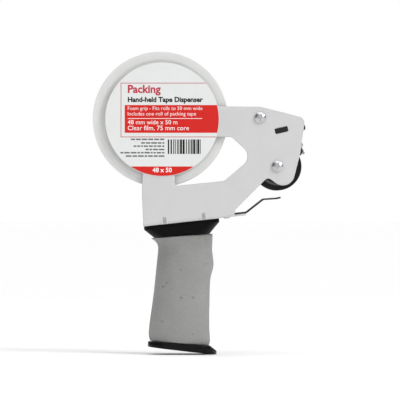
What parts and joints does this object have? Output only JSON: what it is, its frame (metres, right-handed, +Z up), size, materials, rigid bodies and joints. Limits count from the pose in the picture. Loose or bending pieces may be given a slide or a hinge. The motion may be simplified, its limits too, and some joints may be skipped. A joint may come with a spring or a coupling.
{
  "type": "packing tape dispenser",
  "caption": "Hand-held packing tape dispenser: bent sheet frame with a tape hub, rubber roller, serrated cutter, sprung guide and a foam pistol grip.",
  "frame": {"origin": "middle of the foam grip, on the tape's mid-plane", "axes": "+X forward towards the cutter, +Y across from the side plate to the open side, +Z up along the tool"},
  "size_m": [0.1654, 0.0626, 0.2362],
  "materials": {
    "frame_paint": "smooth light grey paint on sheet steel",
    "plated_steel": "zinc-plated steel",
    "bright_screw": "bright plated",
    "blade_steel": "ground spring steel",
    "spring_wire": "drawn wire",
    "black_plastic": "moulded, fine texture",
    "neck_plastic": "moulded, satin",
    "hub_plastic": "moulded, satin",
    "knob_plastic": "moulded, satin black",
    "roller_plastic": "moulded",
    "nylon": "natural nylon",
    "gloss_black": "polished mould face",
    "black_strip": "blackened spring strip",
    "foam": "closed-cell foam with fine pores",
    "roller_rubber": "moulded rubber",
    "fibre": "pressed fibre",
    "brass_insert": "turned brass",
    "core_board": "spiral-wound board",
    "tape_film": "wound film, fine rings on its sides",
    "label_print": null
  },
  "bodies": {
    "frame": {"side_frame": "frame_paint", "far_cheek": "frame_paint", "cheek_rivets": "plated_steel", "upper_spacer": "black_plastic", "roller_axle": "plated_steel", "roller_washers": "nylon", "head_screws": "bright_screw", "blade_holder": "black_plastic", "cutter_blade": "blade_steel", "blade_screws": "bright_screw", "guide_tongue": "black_strip", "tongue_rivets": "plated_steel", "handle_core": "neck_plastic", "grip_sleeve": "foam", "base_cap": "gloss_black", "cap_screw": "bright_screw", "handle_screws": "bright_screw", "hub_stud": "plated_steel", "friction_disc": "fibre", "spring_seat": "plated_steel", "brake_spring": "spring_wire", "label_card": "label_print"},
    "hub": {"hub": "hub_plastic"},
    "tape": {"tape_core": "core_board", "tape_roll": "tape_film"},
    "roller": {"roller_core": "roller_plastic", "roller_tyre": "roller_rubber"},
    "pusher": {"brake_pusher": "plated_steel"},
    "knob": {"brake_knob": "knob_plastic", "knob_insert": "brass_insert"}
  },
  "joints": [
    {"name": "hub_spin", "type": "hinge", "parent": "frame", "child": "hub", "pos_m": [-0.0169, 0, 0.13305], "axis": [0, 1, 0], "continuous": true},
    {"name": "tape_slide", "type": "slide", "parent": "hub", "child": "tape", "axis": [0, 1, 0], "range_m": [0, 0.055]},
    {"name": "roller_spin", "type": "hinge", "parent": "frame", "child": "roller", "pos_m": [0.0742, 0, 0.09625], "axis": [0, 1, 0], "continuous": true},
    {"name": "brake_travel", "type": "slide", "parent": "frame", "child": "pusher", "axis": [0, 1, 0], "range_m": [-0.00151, 0.00101], "deforming": ["brake_spring"]},
    {"name": "knob_turn", "type": "hinge", "parent": "pusher", "child": "knob", "pos_m": [-0.0169, 0, 0.13305], "axis": [0, 1, 0], "range_deg": [-540, 360]}
  ],
  "couplings": [
    {"joint": "brake_travel", "follows": "knob_turn", "m_per_rad": 0.00015915}
  ]
}
